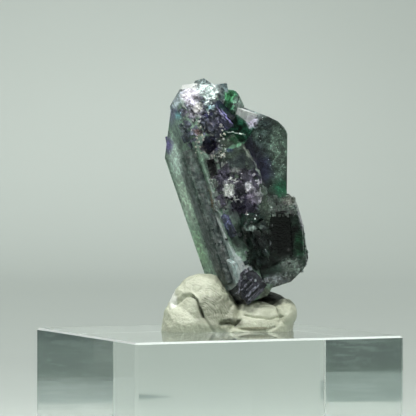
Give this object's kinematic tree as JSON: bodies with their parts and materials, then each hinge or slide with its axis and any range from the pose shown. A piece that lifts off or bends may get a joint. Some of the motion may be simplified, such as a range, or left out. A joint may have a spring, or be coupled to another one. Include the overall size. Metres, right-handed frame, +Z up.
{
  "type": "fluorite crystal cluster on a putty mount and a clear acrylic block",
  "caption": "Cluster of intergrown green and purple fluorite crystals, pressed upright into a lump of pale mineral putty on a square block of clear acrylic.",
  "frame": {"origin": "middle of the underside of the acrylic block", "axes": "+Z up through the block and the specimen, +X along the block's front edge, +Y towards its back; the specimen's own front faces 23.5 degrees off -Y, towards -X"},
  "size_m": [0.0508, 0.0508, 0.0718],
  "materials": {
    "clear_acrylic": "clear cast acrylic, polished on all sides",
    "mineral_putty": "soft pale grey-green putty, pressed by hand, dull with a faint sheen on the bulges",
    "fluorite": "see-through dark green to purple crystal, glassy on some faces, etched and frosted on others"
  },
  "bodies": {
    "root": {"acrylic_block": "clear_acrylic", "putty": "mineral_putty", "fluorite_cluster": "fluorite"}
  },
  "joints": []
}
